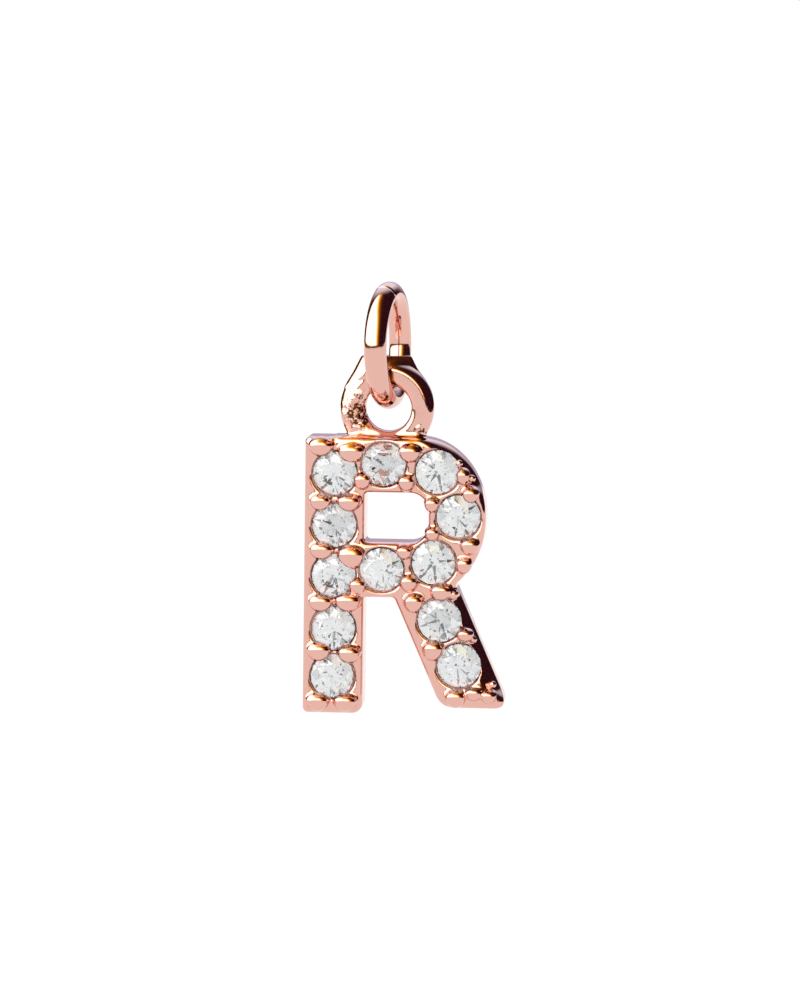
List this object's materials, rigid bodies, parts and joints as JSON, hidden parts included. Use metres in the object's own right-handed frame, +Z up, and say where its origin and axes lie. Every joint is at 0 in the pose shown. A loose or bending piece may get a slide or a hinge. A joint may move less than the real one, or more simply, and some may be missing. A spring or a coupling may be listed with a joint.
{
  "type": "initial pendant",
  "caption": "Small cast initial pendant, pave set with round brilliants in bead prongs, that swings on a round-wire jump ring threaded through its cast loop.",
  "frame": {"origin": "inside top of the jump ring, where a chain bears when the pendant hangs", "axes": "+Z up, +X to the reader's right, and -Y out of the letter's set face"},
  "size_m": [0.0059, 0.0036, 0.0124],
  "materials": {
    "rose_metal": "polished, rose gold plated",
    "stone": "faceted and polished"
  },
  "bodies": {
    "ring": {"jump_ring": "rose_metal"},
    "letter": {"letter_setting": "rose_metal", "stone_01": "stone", "stone_02": "stone", "stone_03": "stone", "stone_04": "stone", "stone_05": "stone", "stone_06": "stone", "stone_07": "stone", "stone_08": "stone", "stone_09": "stone", "stone_10": "stone", "stone_11": "stone", "stone_12": "stone"}
  },
  "joints": [
    {"name": "letter_swing", "type": "hinge", "parent": "ring", "child": "letter", "pos_m": [0, 0, -0.00271], "axis": [0, 1, 0], "range_deg": [-90, 90]}
  ]
}
